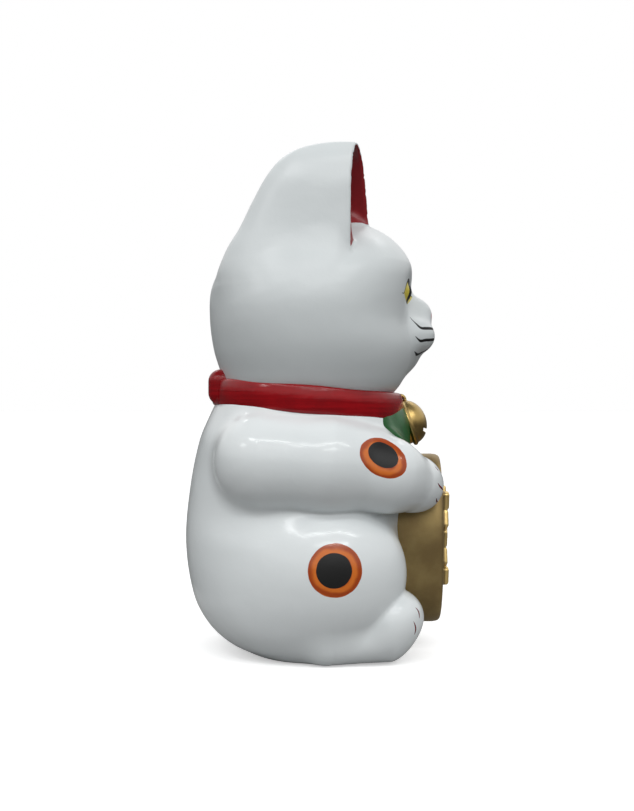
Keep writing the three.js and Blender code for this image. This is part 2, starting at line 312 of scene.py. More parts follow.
def haunch_and_foot(place):
    haunch = ellipsoid(place, (50, -3, 56), (42, 54, 50))
    sole = bar(place, (63.5, -6, 11), 11, (54, -41, 19.6), 20)
    toes = ellipsoid(place, (50, -47, 28.5), (24, 21, 18.5))
    crease = mix(EDGE, BROAD, smooth_step(-42, -8, place[1]))
    return blend(haunch, blend(sole, toes, SOFT), crease)


def holding_arm(place):
    elbow = ((60, -44, 119), 22.5)
    wrist = ((45, -60, 113), 19)
    arm = limb(place, (SHOULDER, ((64, -6, 125), 29.5), elbow, wrist), SOFT)
    paw = ellipsoid(place, (40, -66, 111.5), (15, 15.5, 16.5))
    return blend(arm, paw, TIGHT)


def beckoning_arm(place):
    elbow = ((79, -20, 135), 22)
    wrist = ((83, -35, 205), 16.5)
    arm = limb(place, (SHOULDER, ((66, 2, 124), 27), elbow, ((84, -33, 172), 18), wrist), SOFT)
    paw = limb(place, (wrist, ((83, -39, 232), 18), ((83, -46, 236), 17)), SOFT)
    return blend(arm, paw, TIGHT)


def body(place):
    arms = blend(holding_arm(from_right(place)), beckoning_arm(place), SOFT)
    trunk = blend(torso(place), haunch_and_foot(mirrored(place)), SOFT)
    chest = ellipsoid(place, (0, -43, 148), (38, 18, 20))
    joints = tuple((joint, TAIL["radius"]) for joint in TAIL["path"])
    behind = smooth_step(15, 60, place[1])
    above = smooth_step(120, 140, place[2]) * smooth_step(158, 146, place[2]) * smooth_step(58, 26, place[1])
    fillet = np.maximum(mix(EDGE, SOFT, behind), mix(EDGE, BROAD, above))
    whole = blend(blend(blend(trunk, arms, fillet), chest, TIGHT), limb(place, joints, SOFT), TIGHT)
    return overlap_of(whole, -place[2], EDGE)


def bib(place):
    """A slab on the chest, from a little under the skin to the bib's thickness over it."""
    x, y, z = place
    round_outline = oval(x, z - BIB["centre_z"], (BIB["half_width"], BIB["drop"]))
    below = BIB["low_z"] + BIB["flare"] * np.hypot(x, BIB["point"]) - z
    outline = overlap_of(round_outline, below, SOFT)
    above_skin = body(place)
    slab = overlap_of(above_skin - BIB["thickness"], outline, 2 * EDGE)
    return np.maximum(np.maximum(slab, -above_skin - 2), y + 20)


def collar_height(place):
    """How high a place is on the sloping collar, from -1 at its lower edge to 1 at its upper edge."""
    middle_y = (COLLAR["front_y"] + COLLAR["back_y"]) / 2
    middle_z = COLLAR["low_z"] + COLLAR["height"] / 2
    lift = (place[1] - middle_y) * math.tan(math.radians(COLLAR["slope"]))
    return (place[2] - middle_z - lift) / (COLLAR["height"] / 2)


def collar(place):
    x, y, _ = place
    middle_y = (COLLAR["front_y"] + COLLAR["back_y"]) / 2
    half_y = (COLLAR["back_y"] - COLLAR["front_y"]) / 2
    height = collar_height(place)
    around = oval(x, y - middle_y, (COLLAR["half_width"], half_y))
    swell = COLLAR["swell"] * (1 - height * height)
    edge = (np.abs(height) - 1) * COLLAR["height"] / 2
    band = overlap_of(around - swell, edge, EDGE)
    return np.maximum(band, -around - COLLAR["depth"])


def knot(place):
    left = mirrored(place)
    lobe = box(left, (17, 59.2, 174.7), (17, 12, 11.7), 8)
    tie = ellipsoid(place, (0, 64, 170.8), (7, 8.8, 8.5))
    return blend(lobe, tie, EDGE)


def turned(place, centre, degrees):
    """A place seen from a solid that is turned about X round its centre."""
    x, y, z = (value - middle for value, middle in zip(place, centre))
    cos, sin = math.cos(math.radians(degrees)), math.sin(math.radians(degrees))
    return x, y * cos + z * sin, z * cos - y * sin


def bell(place):
    """A round bell that looks along its own -Y, with a rim round its middle, a slot and a loop."""
    x, y, z = turned(place, BELL["centre"], BELL["tilt"])
    radius, dome, rim = BELL["radius"], BELL["dome"], BELL["rim"]
    front = ellipsoid((x, y, z), (0, 0, 0), (radius, dome + rim / 2, radius))
    front = np.maximum(front, y)
    around = np.sqrt(x * x + z * z)
    back = np.maximum(around - radius + rim, np.maximum(-y, y - 12))
    band = np.sqrt((around - radius + 0.2) ** 2 + (y - 0.6) ** 2) - 1.5
    shell = blend(blend(front, back, 1), band, 1)
    turned_slot = turned((x, y, z), (0, 0, 0), 47)
    slot = box(turned_slot, (0, -radius, 0), (0.6 * radius, 6, 1.1), 0.6)
    loop_reach = np.sqrt((np.sqrt(y * y + (z - radius - rim) ** 2) - 3) ** 2 + x * x) - 1.2
    return blend(carve(shell, slot, 0.8), loop_reach, 0.8)


def coin_stroke(place, row, column):
    pitch_x, pitch_z = STROKES["pitch"]
    lean = STROKES["lean"] if (row + column) % 2 else -STROKES["lean"]
    x = (column - (STROKES["per_row"] - 1) / 2) * pitch_x
    shift = STROKES["stagger"] if column % 2 else -STROKES["stagger"]
    z = STROKES["centre_z"] + shift + ((STROKES["rows"] - 1) / 2 - row) * pitch_z
    cos, sin = math.cos(math.radians(lean)), math.sin(math.radians(lean))
    off_x, off_z = place[0] - x, place[2] - z
    own = (off_x * cos - off_z * sin, place[1], off_x * sin + off_z * cos)
    lift = STROKES["unevenness"] * math.cos(5 * row + 2 * column)
    return box(own, (0, STROKES["middle_y"] - lift, 0), STROKES["half_sizes"], STROKES["rounding"])


def coin(place):
    x, y, z = place
    half_width, half_height = COIN["half_width"], COIN["half_height"]
    outline = oval(x, z - COIN["centre_z"], (half_width, half_height))
    inward = np.clip(-outline / half_width, 0, 1)
    face_y = mix(COIN["edge_y"] + 0.6, COIN["front_y"], np.sqrt(inward))
    disc = overlap_of(outline, np.maximum(face_y - y, y - COIN["back_y"]), 2 * EDGE)
    rim = np.sqrt((outline + 3) ** 2 + (y - COIN["edge_y"] - 0.8) ** 2) - 1.8
    face = blend(disc, rim, EDGE)
    for row in range(STROKES["rows"]):
        for column in range(STROKES["per_row"]):
            face = blend(face, coin_stroke(place, row, column), 1)
    return face


# Meshing
UNITS = np.eye(3, dtype=int)
CORNERS = np.array([(i, j, k) for i in (0, 1) for j in (0, 1) for k in (0, 1)])


def at(field, places):
    """The field at the rows of an array of places."""
    return field((places[:, 0], places[:, 1], places[:, 2]))


def slope_at(field, places):
    steps = UNITS * GRADIENT_STEP
    rises = [at(field, places + step) - at(field, places - step) for step in steps]
    return np.stack(rises, axis=1) / (2 * GRADIENT_STEP)


def onto_skin(field, places, reach):
    """Moves places onto a field's surface along its slope, within the given reach."""
    start = places
    for _ in range(3):
        slope = slope_at(field, places)
        steepness = np.maximum((slope * slope).sum(axis=1), 0.2)
        places = places - slope * (at(field, places) / steepness)[:, None]
        moved = places - start
        length = np.maximum(np.linalg.norm(moved, axis=1), 1e-9)
        places = start + moved * np.minimum(reach / length, 1)[:, None]
    return places


def sampled(field, lines, cell):
    """The field at each corner of a grid. Far from the surface, a thinned out grid's value stands in."""
    thin = [line[THINNING // 2 :: THINNING] for line in lines]
    rough = field(np.meshgrid(*thin, indexing="ij"))
    for axis, line in enumerate(lines):
        index = np.minimum(np.arange(len(line)) // THINNING, len(thin[axis]) - 1)
        rough = rough.take(index, axis=axis)
    near = np.nonzero(np.abs(rough) < NEAR_SURFACE * THINNING * cell)
    rough[near] = field([line[index] for line, index in zip(lines, near)])
    return rough


def mean_of_neighbours(places, quads):
    total, count = np.zeros_like(places), np.zeros(len(places))
    for side in range(4):
        start, end = quads[:, side], quads[:, (side + 1) % 4]
        count += np.bincount(start, minlength=len(places))
        for axis in range(3):
            total[:, axis] += np.bincount(start, weights=places[end, axis], minlength=len(places))
    return total / count[:, None]


def skin(field, low, high, cell):
    """A closed mesh of a field's surface: a vertex in each grid cell that it crosses, and a face round
    each edge of the grid that it crosses."""
    lines = [np.arange(start, end + cell, cell) for start, end in zip(low, high)]
    values = sampled(field, lines, cell)
    inside = values < 0
    spans = np.array(values.shape) - 1
    full = np.zeros(spans, int)
    for corner in CORNERS:
        full += inside[tuple(slice(start, start + span) for start, span in zip(corner, spans))]
    cells = np.argwhere((full > 0) & (full < 8))
    vertex = np.full(spans, -1)
    vertex[tuple(cells.T)] = np.arange(len(cells))

    total, crossings = np.zeros(cells.shape), np.zeros(len(cells))
    for corner in CORNERS:
        for unit in UNITS[[axis for axis in range(3) if corner[axis] == 0]]:
            near, far = values[tuple((cells + corner).T)], values[tuple((cells + corner + unit).T)]
            crossed = (near < 0) != (far < 0)
            t = near / np.where(crossed, near - far, 1)
            total += (cells + corner + t[:, None] * unit) * crossed[:, None]
            crossings += crossed
    places = np.array(low) + cell * total / crossings[:, None]

    rings = []
    for axis in range(3):
        unit, u, v = UNITS[axis], UNITS[(axis + 1) % 3], UNITS[(axis + 2) % 3]
        here = inside[1:-1, 1:-1, 1:-1]
        there = inside[tuple(slice(1 + step, size - 1 + step) for step, size in zip(unit, inside.shape))]
        edges = np.argwhere(here != there) + 1
        ring = np.stack([vertex[tuple((edges - step).T)] for step in (0 * u, u, u + v, v)], axis=1)
        leaving = inside[tuple(edges.T)]
        rings.append(np.where(leaving[:, None], ring, ring[:, ::-1]))
    quads = np.concatenate(rings)

    places = onto_skin(field, places, cell)
    for _ in range(2):
        places = onto_skin(field, mix(places, mean_of_neighbours(places, quads), 0.5), cell)
    return places, quads


def make_piece(name, places, quads, slot):
    mesh = bpy.data.meshes.new(name)
    mesh.from_pydata(places * MM, [], quads.tolist())
    mesh.shade_smooth()
    piece = bpy.data.objects.new(name, mesh)
    bpy.context.scene.collection.objects.link(piece)
    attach(piece, "root")
    return piece


def keep(piece, **distances):
    """Keeps a number at each of a piece's vertices, for its material to read."""
    for name, values in distances.items():
        attribute = piece.data.attributes.new(name, "FLOAT", "POINT")
        attribute.data.foreach_set("value", np.ascontiguousarray(values, np.float32))


# Brush strokes, drawn on the skin
def landed(field, start, ray):
    """Where rays from outside first meet a field's surface, or pass nearest to it."""
    ray = ray / np.linalg.norm(ray, axis=1)[:, None]
    place, best, nearest = start.copy(), start.copy(), np.full(len(start), np.inf)
    for _ in range(RAY_STEPS):
        distance = at(field, place)
        closer = distance < nearest
        best[closer], nearest[closer] = place[closer], distance[closer]
        place = place + ray * np.maximum(distance, 0.02)[:, None] * 0.7
        place[nearest < 0.05] = best[nearest < 0.05]
    return onto_skin(field, best, 5)


def seen_in_photo(field, pixels):
    pixels = np.array(pixels, float)
    ray = np.ones((len(pixels), 3))
    ray[:, 1] = (IMAGE_WIDTH / 2 - pixels[:, 0]) / FOCAL_PIXELS
    ray[:, 2] = (IMAGE_HEIGHT / 2 - pixels[:, 1]) / FOCAL_PIXELS
    return landed(field, CAMERA_PLACE + ray * RAY_START, ray)


def seen_from_front(field, points):
    points = np.array(points, float)
    start = np.stack([points[:, 0], np.full(len(points), FRONT_RAY_START_Y), points[:, 1]], axis=1)
    return landed(field, start, np.tile((0.0, 1.0, 0.0), (len(points), 1)))


def smooth_line(points, per_span=6):
    """A smooth line through points, with more points along it."""
    points = np.array(points, float)
    ends = np.vstack([2 * points[0] - points[1], points, 2 * points[-1] - points[-2]])
    t = np.linspace(0, 1, per_span, endpoint=False)[:, None]
    spans = []
    for a, b, c, d in zip(ends, ends[1:], ends[2:], ends[3:]):
        spans.append(b + 0.5 * t * (c - a + t * (2 * a - 5 * b + 4 * c - d + t * (3 * (b - c) + d - a))))
    return np.vstack(spans + [points[-1:]])


def brushed(places, normals, strokes):
    """For each place, its signed distance from the middle of the nearest brush stroke, and half that
    stroke's width there, which is negative away from it. A stroke is (line, widths along it)."""
    nearest = np.full(len(places), np.inf)
    across, half_width = np.full(len(places), 10.0), np.full(len(places), -1.0)
    for line, widths in strokes:
        widths = np.interp(np.linspace(0, 1, len(line)), np.linspace(0, 1, len(widths)), widths)
        for i in range(len(line) - 1):
            span = line[i + 1] - line[i]
            length = np.linalg.norm(span)
            offset = places - line[i]
            t = offset @ span / length**2
            over = (np.maximum(-t, 0) * (i == 0) + np.maximum(t - 1, 0) * (i == len(line) - 2)) * length
            t = np.clip(t, 0, 1)
            distance = np.linalg.norm(offset - t[:, None] * span, axis=1)
            closer = distance < nearest
            nearest[closer] = distance[closer]
            sideways = np.cross(span / length, normals[closer])
            across[closer] = (offset[closer] * sideways).sum(axis=1)
            half_width[closer] = mix(widths[i], widths[i + 1], t[closer]) - over[closer]
    half_width[nearest > STROKE_REACH] = -STROKE_REACH
    return across, half_width


# Materials
# One white enamel in two copies: the body's is painted lighter, a painted light, and the head's darker, a
# painted shade. Each pair mottles at random.
BODY_WHITE_PAINTED_LIGHTER, GREYER_BODY_WHITE_PAINTED_LIGHTER = (0.79, 0.83, 0.838), (0.765, 0.808, 0.818)
HEAD_WHITE_PAINTED_DARKER, GREYER_HEAD_WHITE_PAINTED_DARKER = (0.68, 0.72, 0.728), (0.656, 0.698, 0.706)
RED, DARK_RED = (0.34, 0.005, 0.009), (0.22, 0.003, 0.006)
ORANGE, DARK_ORANGE = (0.68, 0.17, 0.025), (0.38, 0.06, 0.01)
BLACK, BLACK_DULLNESS = (0.002, 0.002, 0.002), 0.35
YELLOW, DARK_YELLOW = (0.8, 0.68, 0.09), (0.55, 0.45, 0.05)
GREEN, DARK_GREEN = (0.015, 0.12, 0.028), (0.012, 0.075, 0.018)
LINE_RED = (0.16, 0.008, 0.014)
NOSE_RED = (0.42, 0.05, 0.05)
EAR_RED, DARK_EAR_RED = (0.31, 0.014, 0.02), (0.22, 0.014, 0.018)
COIN_GOLD, DARK_COIN_GOLD = (0.36, 0.26, 0.105), (0.27, 0.185, 0.075)
# The much lighter gold of the coin's raised strokes: a painted highlight
STROKE_HIGHLIGHT_GOLD = (0.85, 0.62, 0.24)
BELL_GOLD, DARK_BELL_GOLD = (0.52, 0.37, 0.14), (0.36, 0.24, 0.08)
# The pinholes: the size of the cells they are scattered in, their edge as parts of a cell, the limits that
# choose the cells which have one, and their colour, a dark grey that paints the shade inside each hole
PINHOLE = {"cell": 34, "edge": (0.008, 0.02), "chosen": (0.68, 0.7), "colour": (0.25, 0.25, 0.24)}


class Shader:
    """Builds the nodes of one material, whose sizes are in millimetres."""

    def __init__(self, name):
        self.material = bpy.data.materials.new(name)
        self.material.use_nodes = True
        self.nodes = self.material.node_tree.nodes
        self.surface = self.nodes["Principled BSDF"]
        self.place = self.add("ShaderNodeTexCoord").outputs["Object"]

    def add(self, kind, **settings):
        node = self.nodes.new(kind)
        for name, value in settings.items():
            setattr(node, name, value)
        return node

    def put(self, value, socket):
        if isinstance(value, bpy.types.NodeSocket):
            self.material.node_tree.links.new(value, socket)
        elif isinstance(value, tuple) and len(socket.default_value) == 4:
            socket.default_value = (*value, 1)
        else:
            socket.default_value = value

    def math(self, operation, a, b=0.0):
        node = self.add("ShaderNodeMath", operation=operation)
        self.put(a, node.inputs[0])
        self.put(b, node.inputs[1])
        return node.outputs[0]

    def kept(self, name):
        return self.add("ShaderNodeAttribute", attribute_name=name).outputs["Fac"]

    def noise(self, size, detail=2.0, stretch=(1, 1, 1)):
        """Noise from 0 to 1, in blotches of about the given size."""
        scaled = self.add("ShaderNodeMapping")
        self.put(self.place, scaled.inputs["Vector"])
        scaled.inputs["Scale"].default_value = [1 / (size * MM * factor) for factor in stretch]
        node = self.add("ShaderNodeTexNoise")
        self.put(scaled.outputs[0], node.inputs["Vector"])
        node.inputs["Scale"].default_value = 1
        node.inputs["Detail"].default_value = detail
        return node.outputs["Fac"]

    def ramp(self, value, low, high, start=0.0, end=1.0):
        node = self.add("ShaderNodeMapRange", interpolation_type="SMOOTHSTEP")
        for number, socket in zip((value, low, high, start, end), node.inputs):
            self.put(number, socket)
        return node.outputs[0]

    def mix(self, factor, a, b):
        node = self.add("ShaderNodeMix", data_type="RGBA")
        self.put(factor, node.inputs["Factor"])
        self.put(a, node.inputs["A"])
        self.put(b, node.inputs["B"])
        return node.outputs["Result"]

    def within(self, distance, wobble=0.0, ease=0.15):
        """1 where a distance is negative, with an edge that wanders as a brushed one does."""
        if wobble:
            wander = self.math("MULTIPLY", self.math("SUBTRACT", self.noise(7), 0.5), 2 * wobble)
            distance = self.math("ADD", distance, wander)
        return self.ramp(distance, -ease, ease, 1.0, 0.0)

    def stroke(self, name):
        """1 on the brush strokes kept as name_across and name_width."""
        across = self.math("ABSOLUTE", self.kept(name + "_across"))
        return self.within(self.math("SUBTRACT", across, self.kept(name + "_width")))

    def bumped(self, *layers):
        """Each layer is (height from 0 to 1, depth in millimetres)."""
        normal = None
        for height, depth in layers:
            node = self.add("ShaderNodeBump")
            node.inputs["Strength"].default_value = 1
            node.inputs["Distance"].default_value = depth * MM
            self.put(height, node.inputs["Height"])
            if normal:
                self.put(normal, node.inputs["Normal"])
            normal = node.outputs["Normal"]
        self.put(normal, self.surface.inputs["Normal"])

    def finished(self, colour, roughness, metallic=0.0, ior=1.5):
        self.put(colour, self.surface.inputs["Base Color"])
        self.put(roughness, self.surface.inputs["Roughness"])
        self.surface.inputs["Metallic"].default_value = metallic
        self.surface.inputs["IOR"].default_value = ior
        return self.material


def enamel(name, paint, whites, roughness):
    """White enamel with a faint mottle, an orange peel surface and a few pinholes, whose dark grey is
    painted shade.
    paint adds the colours, and tells where the paint is black, which is duller."""
    shader = Shader(name)
    white = shader.mix(shader.ramp(shader.noise(60, 1), 0.25, 0.8), *whites)
    cells = shader.add("ShaderNodeTexVoronoi", feature="F1")
    cells.inputs["Scale"].default_value = 1 / (PINHOLE["cell"] * MM)
    shader.put(shader.place, cells.inputs["Vector"])
    pick = shader.add("ShaderNodeSeparateColor")
    shader.put(cells.outputs["Color"], pick.inputs[0])
    chosen = shader.ramp(pick.outputs[0], *PINHOLE["chosen"])
    hole = shader.ramp(cells.outputs["Distance"], *PINHOLE["edge"], 1.0, 0.0)
    pinhole = shader.math("MULTIPLY", hole, chosen)
    painted, black = paint(shader, white)
    # The pinholes take a dark grey: painted shade inside them.
    colour = shader.mix(pinhole, painted, PINHOLE["colour"])
    peel = shader.noise(2.6, 1)
    swell = shader.noise(14, 1)
    shader.bumped((swell, 0.3), (peel, 0.04), (shader.math("SUBTRACT", 1.0, pinhole), 0.2))
    rough = shader.ramp(shader.noise(24, 2), 0.2, 0.8, *roughness)
    dull = shader.math("MULTIPLY", black, BLACK_DULLNESS)
    return shader.finished(colour, shader.math("ADD", rough, dull), ior=1.45)


def head_paint(shader, colour):
    ear_tone = shader.mix(shader.noise(9, 3, (1, 1, 3)), EAR_RED, DARK_EAR_RED)
    colour = shader.mix(shader.within(shader.kept("ear"), 0.5), colour, ear_tone)
    iris = shader.mix(shader.noise(4, 3), YELLOW, DARK_YELLOW)
    eye = shader.within(shader.kept("eye"), 0.15)
    colour = shader.mix(eye, colour, iris)
    pupil = shader.math("MULTIPLY", eye, shader.within(shader.kept("pupil")))
    colour = shader.mix(pupil, colour, BLACK)
    colour = shader.mix(shader.within(shader.kept("nose"), 0.2), colour, NOSE_RED)
    colour = shader.mix(shader.stroke("mouth"), colour, LINE_RED)
    ink = shader.stroke("ink")
    return shader.mix(ink, colour, BLACK), shader.math("MAXIMUM", ink, pupil)


def body_paint(shader, colour):
    rings = shader.noise(2.2, 2, (6, 6, 6))
    across = shader.math("MULTIPLY", shader.kept("spot"), 0.9)
    streaks = shader.math("ADD", across, shader.math("MULTIPLY", rings, 5.0))
    tone = shader.ramp(shader.math("SINE", streaks), -1.0, 1.0)
    spot = shader.within(shader.kept("spot"), 0.45)
    colour = shader.mix(spot, colour, shader.mix(tone, ORANGE, DARK_ORANGE))
    centre = shader.within(shader.kept("spot_centre"), 0.4)
    colour = shader.mix(centre, colour, BLACK)
    return shader.mix(shader.stroke("toes"), colour, LINE_RED), centre


def red_enamel():
    shader = Shader("red_enamel")
    streaks = shader.noise(1.6, 4, (30, 30, 1))
    blotches = shader.noise(22, 3)
    tone = shader.ramp(shader.math("ADD", streaks, blotches), 0.7, 1.3)
    shader.bumped((streaks, 0.12), (shader.noise(5, 2), 0.15))
    rough = shader.ramp(blotches, 0.35, 0.65, 0.13, 0.26)
    return shader.finished(shader.mix(tone, RED, DARK_RED), rough, ior=1.36)


def green_enamel():
    shader = Shader("green_enamel")
    tone = shader.ramp(shader.noise(12, 4, (1, 1, 2)), 0.3, 0.75)
    shader.bumped((shader.noise(4, 2), 0.12))
    return shader.finished(shader.mix(tone, GREEN, DARK_GREEN), 0.36, ior=1.34)


def gold_paint(name, light, dark, roughness, metallic, relief=None):
    """Gold paint. Where the kept distance named relief is negative, on the coin's raised strokes, it is
    painted a much lighter gold, a painted highlight, and is made smoother.
    """
    shader = Shader(name)
    tone = shader.ramp(shader.noise(16, 4), 0.3, 0.7)
    grain = shader.noise(0.7, 2)
    shader.bumped((shader.noise(3.5, 2), 0.06), (grain, 0.02))
    rough = shader.ramp(grain, 0.2, 0.8, roughness - 0.05, roughness + 0.08)
    colour = shader.mix(tone, light, dark)
    if relief:
        # The raised strokes take the lighter gold as a painted highlight
        painted_highlight = shader.within(shader.kept(relief), ease=0.5)
        colour = shader.mix(painted_highlight, colour, STROKE_HIGHLIGHT_GOLD)
        rough = shader.math("SUBTRACT", rough, shader.math("MULTIPLY", painted_highlight, 0.08))
    return shader.finished(colour, rough, metallic)


# The painted head
def eye_arc(height):
    """The radius of an arc over the eye's width that rises by the given height."""
    return (EYE["half_width"] ** 2 + height**2) / (2 * height)


def eye_outline(place):
    x, z = place[0] - EYE["x"], place[2] - EYE["corner_z"]
    upper, lower = eye_arc(EYE["above"]), eye_arc(EYE["below"])
    under_lid = np.hypot(x, z - EYE["above"] + upper) - upper
    over_rim = np.hypot(x, z + EYE["below"] - lower) - lower
    return np.maximum(np.maximum(under_lid, over_rim), place[1] + 40)


def lid_line():
    radius = eye_arc(EYE["above"])
    x = np.linspace(-EYE["half_width"], EYE["half_width"], 9)
    z = EYE["corner_z"] + EYE["above"] - radius + np.sqrt(radius**2 - x * x)
    points = list(zip(x + EYE["x"], z)) + [(EYE["x"] + EYE["half_width"] + 4, EYE["corner_z"] - 0.2)]
    return smooth_line(seen_from_front(head, points))


# Half widths along the lid line, the mouth and the whiskers
LID_WIDTHS = (0.3, 0.7, 0.9, 0.7, 0.45, 0.15)
MOUTH_WIDTHS = (0.5, 0.6, 0.6, 0.15)
WHISKER_WIDTHS = (0.15, 0.45, 0.9, 1.05, 0.95, 0.5)
# The left half of the mouth, as seen from the front (x, z)
MOUTH = ((0, 219), (0.3, 212.5), (3, 208.5), (8, 209))
# The whiskers, from the photograph's pixels as far as it shows them, and then across the lip (x, z)
WHISKERS = (
    (((409.8, 316.7), (415, 322.5), (420.5, 327.6), (426, 328.3)), ((-17, 213.6), (-11, 213.8))),
    (((415.2, 336), (418, 339), (421, 341), (426, 340.2)), ((-17, 206.3), (-11, 206.8))),
    (((414.3, 351.3), (416, 353.4), (418, 354.5)), ((-14.5, 199.8), (-10, 202.4))),
)


def whisker_lines():
    for pixels, lip in WHISKERS:
        line = np.vstack([seen_in_photo(head, pixels), seen_from_front(head, lip)])
        line[:, 0] = np.abs(line[:, 0])
        yield smooth_line(line), WHISKER_WIDTHS


def make_head():
    places, quads = skin(head, (-96, -92, 138), (96, 80, 334), HEAD_CELL)
    piece = make_piece("head", places, quads, "white_enamel")
    normals = slope_at(head, places)
    left, left_normals = places.copy(), normals.copy()
    left[:, 0] = np.abs(places[:, 0])
    left_normals[:, 0] *= np.sign(places[:, 0])
    place = left.T

    # The red starts a little inside the ear's outer edge, and a little above the skull
    rim = 0.9 + 0.6 * smooth_step(312, 328, place[2])
    ear_red = np.maximum(ear_hood(place) + rim, 1.6 - head_without_ears(place))
    pupil = oval(place[0] - PUPIL["x"], place[2] - PUPIL["z"], PUPIL["radii"])
    nose = oval(place[0], place[2] - NOSE_TIP["z"], NOSE_TIP["radii"])
    keep(piece, ear=ear_red, eye=eye_outline(place), pupil=pupil, nose=np.maximum(nose, place[1] + 60))

    across, width = brushed(left, left_normals, [*whisker_lines(), (lid_line(), LID_WIDTHS)])
    keep(piece, ink_across=across, ink_width=width)
    mouth = smooth_line(seen_from_front(head, MOUTH))
    across, width = brushed(left, left_normals, [(mouth, MOUTH_WIDTHS)])
    keep(piece, mouth_across=across, mouth_width=width)
    # The head's darker white is painted shade.
    whites = (HEAD_WHITE_PAINTED_DARKER, GREYER_HEAD_WHITE_PAINTED_DARKER)
    piece.data.materials.append(enamel("white_enamel_head", head_paint, whites, (0.285, 0.35)))


# The painted body. Each spot is the side it is on and how far out on it, its middle (y, z), its radii, its
# tilt, and how far its black centre is moved and how large it is.
SPOTS = (
    {
        "side": -1, "beyond": 40, "middle": (-40.5, 130.5), "radii": (15.6, 11), "tilt": 30,
        "shift": (0, 1.8), "black": 0.64,
    },
    {
        "side": -1, "beyond": 40, "middle": (-10.9, 62.6), "radii": (16.5, 16.3), "tilt": 0,
        "shift": (0.6, 0), "black": 0.66,
    },
    {
        "side": 1, "beyond": 40, "middle": (-8, 64), "radii": (16.5, 16), "tilt": 0,
        "shift": (-0.5, 0.4), "black": 0.66,
    },
    {
        "side": 1, "beyond": 84, "middle": (-24, 150), "radii": (11, 15), "tilt": -12,
        "shift": (0.3, 0.8), "black": 0.64,
    },
)
# Toe lines: half widths along each, those seen in the photograph, by its pixels, and others as seen from
# the front (x, z)
TOE_WIDTHS = (0.15, 0.6, 0.7, 0.15)
TOE_PIXELS = (
    ((434.6, 465.8), (436.6, 468.3), (438.8, 471.4)),
    ((437.6, 482.6), (440.2, 486.6), (443.2, 491)),
    ((413.6, 621.3), (415.8, 628.8), (414.5, 635.1)),
    ((415.4, 607.4), (418.5, 611.4), (419.6, 619)),
)
TOE_POINTS = (
    ((-52, 104), (-48, 101.5), (-44, 101)),
    ((-44, 38), (-43, 33), (-44, 27.5)),
    ((67.5, 28.3), (68.2, 24), (67, 19.5)),
    ((58.5, 36), (59.5, 32), (58.5, 27)),
    ((44, 38), (43, 33), (44, 27.5)),
    ((75.5, 246), (74.8, 241), (75.5, 236)),
    ((83, 248.5), (83, 243), (83, 237.5)),
    ((90.5, 246), (91.2, 241), (90.5, 236)),
)


def spot_outline(place, spot, size, shift):
    """How far a place is from the outline of a spot of the given size, with its middle shifted."""
    tilt = math.radians(spot["tilt"])
    off_y = place[1] - spot["middle"][0] - shift[0]
    off_z = place[2] - spot["middle"][1] - shift[1]
    along = off_y * math.cos(tilt) + off_z * math.sin(tilt)
    over = off_z * math.cos(tilt) - off_y * math.sin(tilt)
    radii = [radius * size for radius in spot["radii"]]
    return np.maximum(oval(along, over, radii), spot["beyond"] - spot["side"] * place[0])


def make_body():
    places, quads = skin(body, (-104, -96, -4), (110, 96, 262), BODY_CELL)
    piece = make_piece("body", places, quads, "white_enamel")
    place = places.T
    outer = [spot_outline(place, spot, 1, (0, 0)) for spot in SPOTS]
    inner = [spot_outline(place, spot, spot["black"], spot["shift"]) for spot in SPOTS]
    keep(piece, spot=np.minimum.reduce(outer), spot_centre=np.minimum.reduce(inner))
    lines = [seen_in_photo(body, pixels) for pixels in TOE_PIXELS]
    lines += [seen_from_front(body, points) for points in TOE_POINTS]
    strokes = [(smooth_line(line), TOE_WIDTHS) for line in lines]
    across, width = brushed(places, slope_at(body, places), strokes)
    keep(piece, toes_across=across, toes_width=width)
    # The body's lighter white is painted light.
    whites = (BODY_WHITE_PAINTED_LIGHTER, GREYER_BODY_WHITE_PAINTED_LIGHTER)
    piece.data.materials.append(enamel("white_enamel_body", body_paint, whites, (0.12, 0.2)))
    return piece


def make_trim(name, field, low, high, cell, slot, material):
    piece = make_piece(name, *skin(field, low, high, cell), slot)
    piece.data.materials.append(material)


def make_coin(material):
    places, quads = skin(coin, (-42, -93, 12), (42, -30, 136), COIN_CELL)
    piece = make_piece("coin", places, quads, "gold_paint")
    # Places in front of this depth are the raised strokes, which get the painted highlight
    keep(piece, relief=places[:, 1] - COIN["painted_highlight_y"])
    piece.data.materials.append(material)


# The camera, floor and lights. A light shines on a point at the aim's height, from the given distance, in
# metres.
AIM_HEIGHT, LIGHT_DISTANCE = 0.2, 1.3


def make_camera():
    data = bpy.data.cameras.new("camera")
    data.sensor_fit = "VERTICAL"
    data.lens = data.sensor_height * FOCAL_PIXELS / IMAGE_HEIGHT
    camera = bpy.data.objects.new("camera", data)
    camera.location = CAMERA_PLACE * MM
    camera.rotation_euler = (math.pi / 2, 0, -math.pi / 2)
    bpy.context.scene.collection.objects.link(camera)
    bpy.context.scene.camera = camera


def make_sheet(name, reach, depth, grey, glow):
    """A level square of the given reach in metres, at a depth in millimetres under the cat."""
    corners = [(x * reach, y * reach, -depth * MM) for x, y in ((-1, -1), (1, -1), (1, 1), (-1, 1))]
    mesh = bpy.data.meshes.new(name)
    mesh.from_pydata(corners, [], [(0, 1, 2, 3)])
    shader = Shader(name)
    tone = shader.mix(shader.noise(900, 2), (grey, grey, grey), (0.97 * grey, 0.97 * grey, 0.97 * grey))
    shader.surface.inputs["Emission Color"].default_value = (1, 1, 1, 1)
    shader.surface.inputs["Emission Strength"].default_value = glow
    mesh.materials.append(shader.finished(tone, 0.8))
    sheet = bpy.data.objects.new(name, mesh)
    bpy.context.scene.collection.objects.link(sheet)
    return sheet


